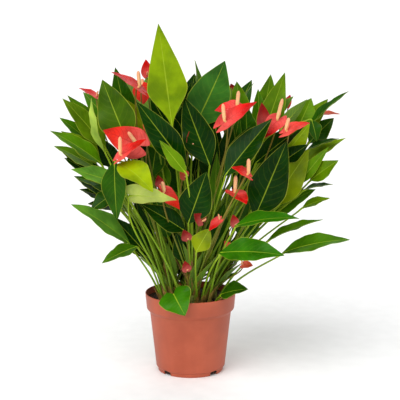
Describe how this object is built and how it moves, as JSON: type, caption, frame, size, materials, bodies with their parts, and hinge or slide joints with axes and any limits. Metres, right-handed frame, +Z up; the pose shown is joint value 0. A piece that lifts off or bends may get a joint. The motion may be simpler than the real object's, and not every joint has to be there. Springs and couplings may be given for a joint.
{
  "type": "potted anthurium",
  "caption": "Flowering anthurium in a tapered nursery pot: a fan of long-stalked pointed leaves with red heart-shaped spathes and cream spadices.",
  "frame": {"origin": "centre of the pot's underside", "axes": "+Z up along the pot's axis, -Y towards the front of the plant, +X to its right"},
  "size_m": [0.5533, 0.3927, 0.6541],
  "materials": {
    "pot": "satin terracotta-coloured plastic",
    "soil": "rough dark potting soil",
    "leaf_young": "soft yellow-green leaf",
    "leaf": "glossy mid-green leaf",
    "leaf_dark": "glossy dark green leaf",
    "crown": "satin green stalks and leaves",
    "spathe": "waxy bright red",
    "spadix": "matt cream to peach"
  },
  "bodies": {
    "root": {"pot": "pot", "soil": "soil", "leaf_tall": "leaf_young", "leaf_left_1": "leaf", "leaf_left_2": "leaf_young", "leaf_left_3": "leaf", "leaf_left_4": "leaf", "leaf_left_5": "leaf", "leaf_left_6": "leaf_dark", "leaf_left_7": "leaf", "leaf_left_8": "leaf", "leaf_front_1": "leaf_young", "leaf_front_2": "leaf_young", "leaf_front_3": "leaf_young", "leaf_front_4": "leaf", "leaf_front_5": "leaf", "leaf_front_6": "leaf_dark", "leaf_right_1": "leaf_dark", "leaf_right_2": "leaf_young", "leaf_right_3": "leaf_dark", "leaf_right_4": "leaf_dark", "leaf_right_5": "leaf", "leaf_right_6": "leaf_dark", "leaf_right_7": "leaf_dark", "leaf_right_8": "leaf", "leaf_right_9": "leaf", "leaf_back_1": "leaf", "leaf_back_2": "leaf_dark", "leaf_back_3": "leaf", "leaf_back_4": "leaf_dark", "leaf_back_5": "leaf", "leaf_back_6": "leaf_dark", "crown_left": "crown", "crown_middle": "crown", "crown_front": "crown", "crown_right": "crown", "crown_back": "crown", "spathe_1": "spathe", "spadix_1": "spadix", "spathe_2": "spathe", "spadix_2": "spadix", "spathe_3": "spathe", "spadix_3": "spadix", "spathe_4": "spathe", "spadix_4": "spadix", "spathe_5": "spathe", "spadix_5": "spadix", "spathe_6": "spathe", "spadix_6": "spadix", "spathe_7": "spathe", "spadix_7": "spadix", "spathe_8": "spathe", "spadix_8": "spadix", "spathe_9": "spathe", "spadix_9": "spadix", "spathe_10": "spathe", "spadix_10": "spadix", "spathe_11": "spathe", "spadix_11": "spadix"}
  },
  "joints": []
}
